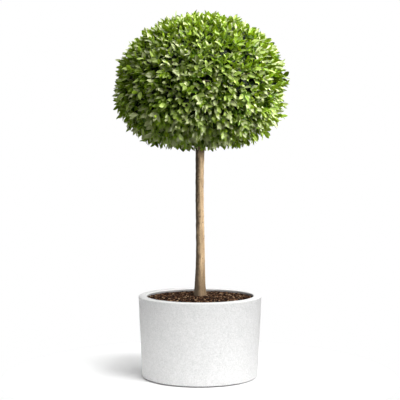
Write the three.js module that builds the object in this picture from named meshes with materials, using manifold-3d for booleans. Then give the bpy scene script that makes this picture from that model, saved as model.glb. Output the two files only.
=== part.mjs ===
// A standard topiary: a clipped ball of small oval leaves on one clear stem, in a round concrete planter.
// Millimetres, +Z up. The origin is the middle of the planter's flat underside.
import * as THREE from "three";
import { mergeVertices } from "three/addons/utils/BufferGeometryUtils.js";
import Module from "manifold-3d";

const wasm = await Module();
wasm.setup();

// Clearance between pieces that rest on each other
const seam = 0.3;

// Planter: a slightly tapered cylinder on a recessed foot
const rimHeight = 330;
const rimRadius = 250;
const footRadius = 235;
const wallThickness = 33;
const floorThickness = 36;
const rimRounding = 4;
const footRounding = 3;
const footGap = 5;
const footInset = 8;
const roundSides = 48;

// Compost: a low mound whose top carries the stem
const soilDropAtWall = 14;
const soilDropAtStem = 4;
const soilSeatRadius = 30;
const soilLumps = 2.4;
const soilRings = 8;

// Trunk: a clear stem with a root flare, and a slight swelling where the head begins
const stemFoot = rimHeight - soilDropAtStem + seam;
const stemTip = 1085;
const stemRadius = 16.4;
const stemTipRadius = 12.5;
const flareRadius = 9;
const flareReach = 95;
const buttresses = 5;
const buttressShare = 0.16;
const headSwell = 1.6;
const headSwellReach = 70;
const stemSway = 1.6;
const swayTurns = [8.2, 6.1];
const swayFade = 4;
const buttressTurn = 1.1;
const stemSides = 20;
const stemRings = 30;
const socketRings = 5;
const socketClearance = 1;
const socketRunOut = 40;
const knots = [
  { height: 148, turn: 4.2, swell: 1.6 },
  { height: 262, turn: 0.7, swell: 1.1 },
  { height: 388, turn: 2.4, swell: 1.2 },
  { height: 470, turn: 5.5, swell: 1.3 },
];
const knotReach = 9;

// Head: the outline that the leaf tips reach, from the level where it is widest
const headLevel = 1160;
const headRadius = 371;
const headRise = 338;
const headDrop = 238;
const crownSquareness = 2;
const skirtSquareness = 2.3;
const coreDepth = 54;
const coreLumps = 6;
const coreLumpGrid = 0.02;
const sliver = 0.1;
const coreDetail = 4;

// Twigs branch from one stem in three orders; the first two end inside the core.
// An order ends at a share of the way to the outline, less a depth under it.
const orders = [
  { count: 8, share: 0.4, depth: 0, root: 10, tip: 8 },
  { count: 32, share: 0.64, depth: 0, root: 7, tip: 5 },
  { count: 84, share: 1, depth: 40, root: 4.6, tip: 2.4 },
];
const stemHubRise = 60;
const tipJitter = 0.55;
const stemKeepOut = 16;

// Leaves stand on the outer end of each twig in crossed pairs
const leafLength = 104;
const leafWidth = 58;
const leafThickness = 2.2;
const leafFold = 3.5;
const leafWidest = 0.45;
const leafSink = 1.5;
const leanStep = 0.08;
const leanLimit = 1.5;
const leafSizeFrom = 0.88;
const leafSizeSpan = 0.24;
const pairTurnSpan = 0.5;
const leanSpan = 0.3;
const pairs = [
  { back: 20, lean: 1.3, size: 1 },
  { back: 10, lean: 0.95, size: 0.9 },
  { back: 1, lean: 0.5, size: 0.65 },
];

const goldenTurn = Math.PI * (3 - Math.sqrt(5));
const headCentre = new THREE.Vector3(0, 0, headLevel);

// A repeatable number from 0 to 1 for the pair (i, k).
function chance(i, k) {
  const s = Math.sin(i * 12.9898 + k * 78.233) * 43758.5453;
  return s - Math.floor(s);
}

function smooth(t) {
  const c = Math.min(1, Math.max(0, t));
  return c * c * (3 - 2 * c);
}

// Points of a profile's corner arc, in radius and height.
function corner(x, y, radius, from, to, steps) {
  return Array.from({ length: steps + 1 }, (_, i) => {
    const a = from + ((to - from) * i) / steps;
    return new THREE.Vector2(x + radius * Math.cos(a), y + radius * Math.sin(a));
  });
}

// Turns a profile of radius and height about the upright axis.
function turned(profile) {
  return new THREE.LatheGeometry(profile, roundSides).rotateX(Math.PI / 2);
}

function outerWall(z) {
  return footRadius + ((rimRadius - footRadius) * z) / rimHeight;
}

function innerWall(z) {
  return outerWall(z) - wallThickness;
}

function planter() {
  const quarter = Math.PI / 2;
  const rimEdge = rimHeight - rimRounding;
  const footEdge = footGap + footRounding;
  return turned([
    new THREE.Vector2(0, 0),
    new THREE.Vector2(footRadius - footInset, 0),
    new THREE.Vector2(footRadius - footInset, footGap),
    ...corner(outerWall(footEdge) - footRounding, footEdge, footRounding, -quarter, 0, 2),
    ...corner(outerWall(rimEdge) - rimRounding, rimEdge, rimRounding, 0, quarter, 3),
    ...corner(innerWall(rimEdge) + rimRounding, rimEdge, rimRounding, quarter, 2 * quarter, 3),
    new THREE.Vector2(innerWall(floorThickness), floorThickness),
    new THREE.Vector2(0, floorThickness),
  ]);
}

// Height of the compost's smooth mound at a radius.
function mound(radius) {
  const out = smooth((radius - soilSeatRadius) / (innerWall(rimHeight) - soilSeatRadius));
  return rimHeight - soilDropAtStem - (soilDropAtWall - soilDropAtStem) * out;
}

function compost() {
  const foot = floorThickness + seam;
  const edge = rimHeight - soilDropAtWall;
  const profile = [new THREE.Vector2(0, foot), new THREE.Vector2(innerWall(foot) - seam, foot)];
  for (let i = 0; i <= soilRings; i++) {
    const r = (innerWall(edge) - seam) * (1 - i / soilRings) + (soilSeatRadius * i) / soilRings;
    profile.push(new THREE.Vector2(r, mound(r)));
  }
  profile.push(new THREE.Vector2(0, mound(0)));
  const made = turned(profile);
  const p = made.attributes.position;
  for (let i = 0; i < p.count; i++) {
    const r = Math.hypot(p.getX(i), p.getY(i));
    if (r < soilSeatRadius + 1 || p.getZ(i) < edge - 1) continue;
    // the same lump for both copies of a vertex on the lathe's closing seam
    const lump = chance(Math.round(p.getX(i)), Math.round(p.getY(i))) - 0.5;
    p.setZ(i, p.getZ(i) + 2 * soilLumps * lump);
  }
  return made;
}

// Centre of the stem at a height.
function stemCentre(z) {
  const up = (z - stemFoot) / (stemTip - stemFoot);
  const away = stemSway * smooth(up * swayFade) * smooth((1 - up) * swayFade);
  return new THREE.Vector2(away * Math.sin(up * swayTurns[0]), away * Math.cos(up * swayTurns[1]));
}

// Radius of the stem at a height and a turn about its axis.
function stemReach(z, turn) {
  const h = z - stemFoot;
  const headFoot = headLevel - headDrop - stemFoot;
  const flare = Math.exp(-h / flareReach);
  const swell = headSwell * Math.exp(-(((h - headFoot) / headSwellReach) ** 2));
  const thin = (stemRadius - stemTipRadius) * smooth((h - headFoot) / (stemTip - stemFoot - headFoot));
  let r = stemRadius - thin + swell + flareRadius * flare;
  r += flareRadius * flare * buttressShare * Math.cos(buttresses * turn + buttressTurn);
  for (const knot of knots) {
    const across = r * Math.atan2(Math.sin(turn - knot.turn), Math.cos(turn - knot.turn));
    r += knot.swell * Math.exp(-((h - knot.height) ** 2 + across ** 2) / (2 * knotReach ** 2));
  }
  return r;
}

// The stem between two heights, grown outwards by a clearance.
function stem(from, to, rings, clearance = 0) {
  const made = new THREE.CylinderGeometry(1, 1, 1, stemSides, rings).rotateX(Math.PI / 2);
  const p = made.attributes.position;
  for (let i = 0; i < p.count; i++) {
    const z = from + (to - from) * (p.getZ(i) + 0.5);
    const out = Math.hypot(p.getX(i), p.getY(i));
    const turn = Math.atan2(p.getY(i), p.getX(i));
    const r = out < 0.5 ? 0 : stemReach(z, turn) + clearance;
    const c = stemCentre(z);
    p.setXYZ(i, c.x + r * Math.cos(turn), c.y + r * Math.sin(turn), z);
  }
  return made;
}

// Distance from the head's centre to its clipped outline along a direction.
function headReach(direction) {
  const up = direction.z >= 0;
  const n = up ? crownSquareness : skirtSquareness;
  const across = Math.hypot(direction.x, direction.y) / headRadius;
  const along = Math.abs(direction.z) / (up ? headRise : headDrop);
  return (across ** n + along ** n) ** (-1 / n);
}

function inHead(point) {
  const out = point.clone().sub(headCentre);
  const distance = out.length();
  return distance <= headReach(out.normalize());
}

// Directions spread evenly over the ball on a golden spiral, each moved a little.
function spread(count, order) {
  const step = tipJitter * Math.sqrt(4 / count);
  return Array.from({ length: count }, (_, i) => {
    const z = 1 - (2 * i + 1) / count;
    const turn = i * goldenTurn + order;
    const flat = Math.sqrt(1 - z * z);
    return new THREE.Vector3(
      flat * Math.cos(turn) + step * (chance(i, order) - 0.5),
      flat * Math.sin(turn) + step * (chance(i, order + 0.3) - 0.5),
      z + step * (chance(i, order + 0.6) - 0.5),
    ).normalize();
  });
}

// The branching rule: every twig of an order springs from the nearest end of the order before it.
function branching() {
  const hub = (direction) => new THREE.Vector3(0, 0, stemTip + (stemHubRise * (direction.z + 1)) / 2);
  let ends = null;
  return orders.map(({ count, share, depth, root, tip }, order) => {
    const limbs = spread(count, order + 1).map((direction) => {
      const end = direction.clone().multiplyScalar(share * headReach(direction) - depth).add(headCentre);
      const start = ends
        ? ends.reduce((a, b) => (a.distanceToSquared(end) < b.distanceToSquared(end) ? a : b))
        : hub(direction);
      return { start, end, root, tip };
    });
    ends = limbs.map((limb) => limb.end);
    return limbs.filter((limb) => clearOfStem(limb.end, limb.tip));
  });
}

function clearOfStem(point, radius) {
  return point.z > stemTip || Math.hypot(point.x, point.y) > stemRadius + radius + stemKeepOut;
}

// A tapering three-sided twig.
function twig({ start, end, root, tip }) {
  const along = end.clone().sub(start);
  const length = along.length();
  const turn = new THREE.Quaternion().setFromUnitVectors(new THREE.Vector3(0, 1, 0), along.normalize());
  return new THREE.CylinderGeometry(tip, root, length, 3, 1)
    .translate(0, length / 2, 0)
    .applyQuaternion(turn)
    .translate(start.x, start.y, start.z);
}

// An eight-faced leaf, folded along its midrib. It runs from its root along one direction, with its blade to
// either side, and its upper face looks where the twig's tip points.
function leaf(root, along, side, size) {
  const made = new THREE.OctahedronGeometry(1);
  const p = made.attributes.position;
  const length = leafLength * size;
  for (let i = 0; i < p.count; i++) {
    const [x, y, z] = [p.getX(i), p.getY(i), p.getZ(i)];
    const tip = y > 0.5;
    const foot = y < -0.5;
    const run = tip ? length : foot ? 0 : leafWidest * length;
    const lift = Math.abs(z) > 0.5 ? (z * leafThickness) / 2 - leafFold * size : 0;
    p.setXYZ(i, (x * leafWidth * size) / 2, run, lift);
  }
  const face = new THREE.Vector3().crossVectors(side, along);
  return made
    .applyMatrix4(new THREE.Matrix4().makeBasis(side, along, face))
    .translate(root.x, root.y, root.z);
}

// The crossed pairs of leaves on the outer end of a twig. Each leans over until its tip is inside the
// outline.
// It is left out where it never is, or where it would touch the stem.
function leavesOn(limb, index) {
  const axis = limb.end.clone().sub(limb.start).normalize();
  const across = new THREE.Vector3(0, 0, 1).cross(axis).normalize();
  const made = [];
  pairs.forEach(({ back, lean, size }, pair) => {
    [0, 1].forEach((half) => {
      const draw = 2 * (index * pairs.length + pair) + half;
      const crossed = Math.PI * (half + pair / 2 + chance(index, 5));
      const turn = crossed + pairTurnSpan * (chance(draw, 6) - 0.5);
      const out = across.clone().applyAxisAngle(axis, turn);
      const side = new THREE.Vector3().crossVectors(out, axis);
      const foot = limb.end.clone().addScaledVector(axis, -back);
      const grown = size * (leafSizeFrom + leafSizeSpan * chance(draw, 8));
      const firstTilt = lean + leanSpan * (chance(draw, 7) - 0.5);
      for (let tilt = firstTilt; tilt < leanLimit; tilt += leanStep) {
        const run = axis.clone().multiplyScalar(Math.cos(tilt)).addScaledVector(out, Math.sin(tilt));
        const tipPoint = foot.clone().addScaledVector(run, leafLength * grown);
        if (!inHead(tipPoint)) continue;
        if (clearOfStem(tipPoint, leafWidth / 2)) {
          made.push(leaf(foot.addScaledVector(run, -leafSink), run, side, grown));
        }
        break;
      }
    });
  });
  return made;
}

// The smaller lumpy core that fills the head, under the leaves.
function core() {
  const made = new THREE.IcosahedronGeometry(1, coreDetail);
  const p = made.attributes.position;
  for (let vertex = 0; vertex < p.count; vertex++) {
    const direction = new THREE.Vector3().fromBufferAttribute(p, vertex).normalize();
    // the same lump for every copy of a vertex
    const [i, j, k] = direction.toArray().map((d) => Math.round(d / coreLumpGrid));
    const lump = chance(chance(i, j), k) - 0.5;
    direction.multiplyScalar(headReach(direction) - coreDepth + 2 * coreLumps * lump).add(headCentre);
    p.setXYZ(vertex, direction.x, direction.y, direction.z);
  }
  return made;
}

function solidOf(geometry) {
  const bare = geometry.index ? geometry.toNonIndexed() : geometry.clone();
  bare.deleteAttribute("normal");
  bare.deleteAttribute("uv");
  const merged = mergeVertices(bare, 1e-4);
  return new wasm.Manifold(
    new wasm.Mesh({
      numProp: 3,
      vertProperties: merged.attributes.position.array,
      triVerts: new Uint32Array(merged.index.array),
    }),
  );
}

function geometryOf(solid) {
  const { vertProperties, triVerts } = solid.getMesh();
  const made = new THREE.BufferGeometry();
  made.setAttribute("position", new THREE.BufferAttribute(vertProperties, 3));
  made.setIndex(new THREE.BufferAttribute(triVerts, 1));
  made.computeVertexNormals();
  return made;
}

// The outer surface of a solid's main body: sealed hollows are filled, loose scraps dropped,
// and the slivers that leaves leave where they cross are closed up.
function mainBody(solid) {
  const body = solid.decompose().reduce((a, b) => (a.volume() > b.volume() ? a : b));
  return body.asOriginal().simplify(sliver);
}

// The clipped head: core, twigs and leaves in one piece, open where the stem runs up into it.
function head() {
  const twigs = branching().at(-1);
  const pieces = twigs.flatMap((limb, i) => [twig(limb), ...leavesOn(limb, i)]);
  const joined = pieces.map(solidOf).reduce((a, b) => a.add(b), solidOf(core()));
  const socketFoot = headLevel - headDrop - socketRunOut;
  const socket = solidOf(stem(socketFoot, stemTip + seam, socketRings, socketClearance));
  return geometryOf(mainBody(joined.subtract(socket)));
}

function part(name, geometry, color, roughness) {
  const mesh = new THREE.Mesh(geometry, new THREE.MeshStandardMaterial({ color, roughness, metalness: 0 }));
  mesh.name = name;
  return mesh;
}

const topiary = new THREE.Group();
topiary.add(part("planter", planter(), 0xe4e4e2, 0.85));
topiary.add(part("compost", compost(), 0x3c2618, 0.95));
topiary.add(part("trunk", stem(stemFoot, stemTip, stemRings), 0xa0805c, 0.8));
topiary.add(part("clipped_head", head(), 0x6f9a2c, 0.5));

export default topiary;
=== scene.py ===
"""Looks of a standard topiary: a clipped ball of small leaves on one clear stem, in a round concrete planter.

Metres, +Z up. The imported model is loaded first, and every piece is fitted to its nodes.
"""

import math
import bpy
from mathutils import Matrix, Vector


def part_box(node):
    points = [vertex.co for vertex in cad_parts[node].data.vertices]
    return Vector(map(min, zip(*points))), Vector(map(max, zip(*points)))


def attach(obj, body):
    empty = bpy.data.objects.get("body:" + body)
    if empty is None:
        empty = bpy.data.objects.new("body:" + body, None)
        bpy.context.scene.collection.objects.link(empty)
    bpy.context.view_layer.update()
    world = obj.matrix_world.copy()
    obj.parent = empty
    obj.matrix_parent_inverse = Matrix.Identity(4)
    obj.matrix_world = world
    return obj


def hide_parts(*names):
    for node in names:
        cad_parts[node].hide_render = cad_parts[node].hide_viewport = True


bl_info = {
    "name": "Standard topiary",
    "version": (1, 0, 0),
    "blender": (4, 5, 0),
    "location": "3D View > Sidebar > Topiary",
    "description": "Models a clipped standard topiary in its planter, and a plain studio round it",
    "category": "Add Mesh",
}

import bmesh
import bpy
import numpy as np
from bpy.props import FloatProperty, FloatVectorProperty, IntProperty, PointerProperty
from mathutils import Vector, kdtree, noise

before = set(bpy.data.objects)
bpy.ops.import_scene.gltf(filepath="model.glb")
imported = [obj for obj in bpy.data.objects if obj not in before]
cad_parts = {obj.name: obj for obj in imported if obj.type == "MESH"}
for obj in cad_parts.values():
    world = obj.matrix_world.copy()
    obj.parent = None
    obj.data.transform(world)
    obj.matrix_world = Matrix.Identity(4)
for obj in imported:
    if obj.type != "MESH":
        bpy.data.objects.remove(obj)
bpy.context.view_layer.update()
BODY = "root"

UP = np.array((0.0, 0.0, 1.0))
SIDEWAYS = np.array((1.0, 0.0, 0.0))

# Distances under which points count as one or as on a line, then how soft an edge between two tones is and
# how near a surface a point counts as on it
SHORTEST = 1e-12
TINY = 1e-6
MERGED = 1e-5
SOFT_EDGE = 0.001

PLANTER_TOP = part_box("planter")[1].z
COMPOST_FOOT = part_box("compost")[0].z
STEM_FOOT, STEM_TIP = (corner.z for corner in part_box("trunk"))

# Planter and compost, as in the part's source, but for the foot, which is set in further than the solid's
# 8 mm so that the dark line under the wall shows
RIM_RADIUS = 0.250
FOOT_RADIUS = 0.235
WALL = 0.033
RIM_ROUNDING = 0.004
FOOT_ROUNDING = 0.003
FOOT_GAP = 0.005
FOOT_INSET = 0.016
SOIL_DROP_AT_WALL = 0.014
SOIL_DROP_AT_STEM = 0.004
SOIL_SEAT_RADIUS = 0.030
SEAM = 0.0003

# Rows and steps of the planter's and the compost's meshes
FOOT_STEPS = 4
RIM_STEPS = 5
UNDERSIDE_SPACING = 0.03
INSIDE_SPACING = 0.04
LIP_DROP = 0.03
LIP_INSET = 0.0003
COMPOST_ROWS = 66
COMPOST_STEPS = 260
INNERMOST_ROW = 0.4

# Waves on the planter and lumps on the compost: (how close, how high)
WALL_WAVES = ((11.0, 0.0007), (38.0, 0.00025), (130.0, 0.00012))
WAVE_FADE = 0.02
SOIL_LUMPS = ((75.0, 0.0024), (210.0, 0.0014))
SOIL_SETTLING = 0.0016

# Pits in the planter's outside. A pair of numbers is a least value and how much more it may be
PIT_HEIGHTS = (0.02, 0.29)
PIT_RADII = (0.0028, 0.0042)
SMALL_PITS = 3
PIT_DEPTH = 0.26

# Concrete: (roughness, specular), then its layers of tone, each with a texture as (scale, detail, roughness,
# low, high), a dark shade, a pale shade and a share. The last layer's grain also varies the roughness
CONCRETE_FINISH = (0.78, 0.35)
CONCRETE_LAYERS = (
    (7.5, 5.0, 0.60, 0.34, 0.68, 0.92, 1.03, 1.00),
    (34.0, 5.0, 0.65, 0.36, 0.66, 0.84, 1.07, 0.55),
    (95.0, 4.0, 0.70, 0.38, 0.64, 0.78, 1.16, 0.25),
    (200.0, 2.0, 0.70, 0.38, 0.62, 0.76, 1.18, 0.40),
)
CONCRETE_ROUGHNESS = (0.70, 0.88)
CONCRETE_RELIEF = (420.0, 4.0, 0.6)
CONCRETE_BUMP = (0.0008, 0.75)

# Pores: (scale, from where to where a spot fades, the cells that have one), then their tone and depth. Their
# darker tone is painted shade in the pits
PORES = (190.0, (0.16, 0.28), (0.80, 0.86))
PORE_TONE = 0.55
PORE_SHADE = 0.45
PORE_DEPTH = 1.4

# The inner wall darkened towards the soil by soil stain and painted shade, the painted highlight on the rim
# and the painted shadow under the foot
INNER_EDGE = 0.002
INNER_WALL_SHARES = (1.0, 0.25)
WALL_SOIL_STAIN_AND_SHADE = (0.060, 0.052, 0.045)
PAINTED_RIM_HIGHLIGHT_SHARE = 0.8
PAINTED_RIM_HIGHLIGHT_SHADE = 1.5
PAINTED_SHADOW_SHARE_UNDER_FOOT = 0.95
PAINTED_SHADOW_UNDER_FOOT = (0.030, 0.030, 0.030)

# Finishes with a little grain: roughness, specular, texture as (scale, detail, roughness, low, high), dark
# and pale shade, relief's texture, and the relief's (distance, strength). TWIG is also that of the plain
# leaves inside
EARTH = (0.95, 0.05, (160.0, 5.0, 0.7, 0.35, 0.68), (0.45, 1.25), (380.0, 4.0, 0.7), (0.0012, 0.9))
CHIP = (0.90, 0.05, (420.0, 4.0, 0.7, 0.30, 0.70), (0.60, 1.30), (900.0, 3.0, 0.6), (0.0005, 0.7))
TWIG = (0.65, 0.35, (260.0, 3.0, 0.6, 0.30, 0.70), (0.70, 1.20), None, None)

# Bark: streaks, broad patches and grain as (stretch, texture), then scars, soiled foot and the painted shade
# on the stem's left side
BARK_FINISH = (0.72, 0.35)
BARK_TEXTURES = (
    (0.09, (150.0, 5.0, 0.65, 0.36, 0.66)),
    (0.35, (26.0, 4.0, 0.6, 0.36, 0.66)),
    (0.4, (520.0, 3.0, 0.7, 0.3, 0.7)),
)
BARK_BUMP = (0.0010, 0.9)
STREAK_DARKNESS = 0.85
STREAK_PALE = 1.35
BROAD_SHARE = 0.75
BROAD_DARKNESS = 0.7
BROAD_SHADE = 0.9
GRAIN_SHARE = 0.3
GRAIN_DARK = 0.8
GRAIN_PALE = 1.25
SCARS = (58.0, (0.14, 0.30), (0.52, 0.60))
SCAR_STRETCH = 1.6
SCAR_SHARE = 0.8
SCAR_SHADE = 0.45
SOILED_HEIGHTS = (0.03, 0.17)
SOILED_SHARE = 0.85
SOILED_SHADES = (0.6, 1.2)
PAINTED_SHADE_TEXTURE = (45.0, 4.0, 0.6)
PAINTED_SHADE_STRETCH = 0.6
PAINTED_SHADE_WANDER = 0.028
PAINTED_SHADE_EDGES = (0.004, 0.017)
PAINTED_SHADE_SHARE = 0.92
PAINTED_SHADE_DARKNESS = 0.34

# Tones of the bark chips, and the share of the chips up to each
CHIP_TONES = (
    ("dark_bark_chip", (0.008, 0.0042, 0.0028), 0.44),
    ("brown_bark_chip", (0.044, 0.022, 0.012), 0.76),
    ("red_brown_bark_chip", (0.135, 0.070, 0.038), 0.935),
    ("tan_bark_chip", (0.31, 0.21, 0.125), 1.0),
)
CHIP_SLANTS = (0.72, 0.6, 0.7)
CHIP_LENGTHS = (0.45, 0.85)
SHORT_CHIPS = 1.6
CHIP_WIDTHS = (0.38, 0.3)
CHIP_HEIGHTS = (0.22, 0.2)
CHIP_PITCH = 0.9
CHIP_ROLL = 1.1
CHIP_LIFT = 0.0022
CHIP_SINK = 0.0006
CHIP_TURN = 0.6
CHIP_STRAY = 0.004
CHIP_EDGE = 0.004
BARE_MIDDLE = 0.018
CHIP_SHARP = math.radians(30)

# Stem, as in the part's source
STEM_RADIUS = 0.0164
STEM_TIP_RADIUS = 0.0125
FLARE_RADIUS = 0.009
FLARE_REACH = 0.095
BUTTRESSES = 5
BUTTRESS_SHARE = 0.16
BUTTRESS_TURN = 1.1
HEAD_SWELL = 0.0016
HEAD_SWELL_REACH = 0.070
STEM_SWAY = 0.0016
SWAY_TURNS = (8.2, 6.1)
SWAY_FADE = 4
KNOTS = ((0.148, 4.2, 0.0016), (0.262, 0.7, 0.0011), (0.388, 2.4, 0.0012), (0.470, 5.5, 0.0013))
KNOT_REACH = 0.009
KNOT_HOLLOW = 0.7
HOLLOW_SHARPNESS = 6

# The stem's mesh, and its bark's long cracks, fine cracks and rough patches: how close they are across the
# stem and along it, and how deep
STEM_STEPS = 104
BARK_ROW = 0.0017
BARK_END = 0.05
HIDDEN_ROWS = 18
BARK_GRIDS = ((190, 16), (430, 60), (60, 45))
LONG_DEPTH = 1.6
LONG_LIMIT = 0.35
BARK_LEVEL = 0.35
FINE_DEPTH = 0.35
ROUGH_DEPTH = 0.8

# Head: the clipped outline and the branching rule, as in the part's source
HEAD_CENTRE = np.array((0.0, 0.0, 1.160))
HEAD_RADIUS = 0.371
HEAD_RISE = 0.338
HEAD_DROP = 0.238
CROWN_SQUARENESS = 2.0
SKIRT_SQUARENESS = 2.3
GOLDEN_TURN = math.pi * (3 - math.sqrt(5))
TIP_JITTER = 0.55
STEM_HUB_RISE = 0.060
STEM_KEEP_OUT = 0.016
ANY_DEPTH = -1.0
TOO_SHALLOW = 100.0
AXIS_LIMIT = 1e-6

# The source's three orders of limbs: (count, share, depth, root radius, tip radius)
ORDERS = (
    (8, 0.40, 0.000, 0.0090, 0.0065),
    (32, 0.64, 0.000, 0.0060, 0.0042),
    (84, 1.00, 0.040, 0.0038, 0.0020),
)

# Two finer orders, the spurs and the leafy shoots, which spring from forks along the orders before
SPUR_DEPTH = 0.066
SPUR_SPREAD = 0.020
SPUR_RADII = (0.0020, 0.0013)
SHOOT_RADII = (0.0011, 0.0006)
FORKS = (0.35, 0.6, 0.8, 1.0)
FORK_RISE = 0.024

# The outline that the leaves reach: a little fuller at the crown's edge and the skirt, and deeper below
LEAFY_SQUARENESS = (2.02, 2.56)
LEAFY_DROP = 0.253

# How unevenly the limbs fill it: soft hollows, few that grow to their whole length where the power FEW_LONG
# is low, more unevenness at the skirt than at the crown, and one shoulder that was clipped less
LUMP_GRID = 9.0
LUMP_DEPTH = 0.012
LUMP_PLACE = Vector((3.1, 0.0, 7.4))
FEW_LONG = 0.40
UNEVEN = 0.46
SKIRT_EASE = 0.001
SKIRT_SLOPE = 3.6
SKIRT_START = 2.15
SHOULDER = np.array((0.77, -0.05, 0.64))
SHOULDER_EASE = 0.018
SHOULDER_FALL = 10
PATCH_GRID = 19.0

# Meshes of the limbs, from the stem's leader outwards: (name, sides, steps, bow)
LIMB_MESHES = (
    ("leader", 12, 4, 0.0),
    ("boughs", 10, 8, 0.10),
    ("branches", 8, 6, 0.12),
    ("twigs", 6, 5, 0.10),
    ("spurs", 4, 3, 0.09),
    ("shoots", 3, 2, 0.0),
)
LEADER_OVERLAP = 0.002
LEADER_RISE = 0.01
LEADER_RADII = (STEM_TIP_RADIUS * 0.98, 0.006)
LIMB_DRAW = 61
LIMB_SHARP = math.radians(50)
BOW_VARIES = (0.4, 0.6)
NEARLY_UPRIGHT = 0.9

# Crossed pairs of leaves down a shoot: (distance back from its tip, lean, size)
LEAF_PAIRS = (
    (0.0005, 0.26, 0.98),
    (0.0110, 0.60, 1.02),
    (0.0205, 0.82, 1.04),
    (0.0305, 0.98, 1.02),
    (0.0410, 1.08, 1.00),
)
OUTWARD_PULL = 3.2
DROOP = 0.12
LEAN_STEP = 0.08
LEAN_STEPS = 2

# How far the light is from outside and not from above: at the head's middle height, and more at its top
LIGHT_FROM_OUTSIDE = (0.70, 0.45)

# How one leaf differs from the next: pairs of a least value and how much more, then ranges about a middle
PAIR_GAPS = (0.8, 0.4)
LEAF_GROWTH = (0.76, 0.46)
LEAF_WIDTHS = (0.86, 0.28)
LEAF_FOLD = (0.10, 0.42)
LEAF_CURL = (-0.06, 0.34)
LEAF_SAG = (0.4, 0.8)
LEAF_TO_LIGHT = (0.4, 1.1)
AXIS_JITTER = 1.12
LEAF_TURN = 0.5
LEAF_TILT = 0.44
LEAF_ROLL = 0.7

# A leaf's tone goes by its age, which is its place down the shoot with the shoot's and its own range about
# it. The tones darken with age, and so deeper in the head: partly the leaves' own colour, partly painted
# light, as the deep tone paints shade between the shoots and the young tone's whitish paleness partly paints
# sheen
SHOOT_AGES = 0.5
LEAF_AGES = 0.6
TONE_LIMITS = (0.10, 0.38, 0.62)

# The shaded leaves inside, with their growth as a least value and how much more
OLD_LEAF_OUTWARD = 0.45
OLD_LEAF_TO_LIGHT = 0.4
OLD_LEAF_ROLL = 1.2
OLD_LEAF_GROWTH = (0.8, 0.5)
OLD_LEAF_WIDTH = 0.5
OLD_LEAF_FOLD = 0.3
OLD_LEAF_CURL = 0.1

# A leaf's outline: (distance along it, share of its width), and its thickness as a share of its length
LEAF_STATIONS = ((0.12, 0.40), (0.34, 0.86), (0.58, 1.0), (0.83, 0.60))
LEAF_THICKNESS = 0.012

# The most triangles in one joined mesh of leaves
TRIANGLES_A_PIECE = 199000

# Upper faces of the leaves, from the youngest: (tone, light let through, roughness, gloss, underside). Then
# the undersides: (name, shade, light let through, roughness, gloss). The dull underside is a darker copy of
# the pale one, painted shade for the middle and deep leaves
LEAF_TONES = (
    ("young", 0.32, 0.48, 0.85, "pale"),
    ("bright", 0.28, 0.48, 0.80, "pale"),
    ("middle", 0.22, 0.42, 0.50, "dull"),
    ("deep", 0.12, 0.40, 0.28, "dull"),
)
UNDERSIDES = (("pale", 1.0, 0.42, 0.55, 0.25), ("dull", 0.45, 0.30, 0.55, 0.15))
UPPER_VEIN = 0.30
UNDER_VEIN = 0.15
VEIN_COLOUR = (0.62, 0.72, 0.30)
GLOW_COLOUR = (0.80, 0.92, 0.12)
LEAF_SPECULAR = 0.6
LEAF_COAT = 0.5
LEAF_COAT_ROUGHNESS = 0.30
LEAF_MOTTLE = (70.0, 3.0, 0.6, 0.32, 0.68)
MOTTLE_SHADES = (0.84, 1.16)
MIDRIB_EDGES = (0.02, 0.09)

# Studio: the key light, the panels (name of light and setting, width, beam in degrees, place, aim), and where
# the white surroundings change, as parts of a direction
KEY_DIRECTION = (0.500, -0.560, 0.660)
KEY_ANGLE = math.radians(32)
PANELS = (
    ("front_light", 0.9, 28, (2.2, -1.1, 1.9), (0.05, 0.0, 1.24)),
    ("top_light", 1.6, 180, (1.0, 0.3, 2.8), HEAD_CENTRE),
    ("low_light", 0.9, 24, (0.6, -2.5, 0.45), (0.0, 0.0, 0.12)),
    ("head_fill", 1.0, 40, (-2.4, -1.6, 0.6), (-0.15, 0.0, 1.08)),
    ("left_fill", 0.6, 16, (-3.2, -0.3, 0.25), (0.0, 0.0, 0.10)),
)
BACKDROP_EDGES = (0.0, 0.5)
CEILING_EDGES = (0.3, 0.9)
HORIZON_EDGES = (-0.12, 0.12)
BELOW_HORIZON = 0.12
FLOOR_STEPS = 96
FLOOR_FINISH = (0.9, 0.0)
SENSOR_WIDTH = 36.0


def chance(i, k):
    """A repeatable number from 0 to 1 for the pair (i, k), as in the part's source.

    i counts the things drawn for, and k is the draw's own number.
    """
    s = np.sin(np.asarray(i, float) * 12.9898 + k * 78.233) * 43758.5453
    return s - np.floor(s)


def varied(span, i, k, power=1):
    """A number drawn from a span: its least value and how much more, seldom much for a power over 1."""
    least, more = span
    return least + more * chance(i, k) ** power


def either_way(span, i, k):
    """A number drawn from a range about nought."""
    return span * (chance(i, k) - 0.5)


def smooth(t):
    """An even step from 0 to 1."""
    c = np.clip(t, 0.0, 1.0)
    return c * c * (3 - 2 * c)


def unit(v):
    """Vectors of length one along the last axis."""
    return v / np.maximum(np.linalg.norm(v, axis=-1, keepdims=True), SHORTEST)


def square_to(v, run):
    """Unit vectors square to others, in the plane of both."""
    return unit(v - (v * run).sum(-1, keepdims=True) * run)


def waves_at(point, waves):
    """Noise of several sizes at a point."""
    return sum(noise.noise(point * close) * high for close, high in waves)


def arc(x, y, radius, start, end, steps):
    """Points of a profile's corner, in radius and height."""
    return [(x + radius * math.cos(a), y + radius * math.sin(a)) for a in np.linspace(start, end, steps + 1)]


def densified(points, spacing):
    """The same polyline with its long stretches divided."""
    made = [points[0]]
    for (x, y), (to_x, to_y) in zip(points, points[1:]):
        steps = max(1, math.ceil(math.dist((x, y), (to_x, to_y)) / spacing))
        made += [(x + (to_x - x) * i / steps, y + (to_y - y) * i / steps) for i in range(1, steps + 1)]
    return made


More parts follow.
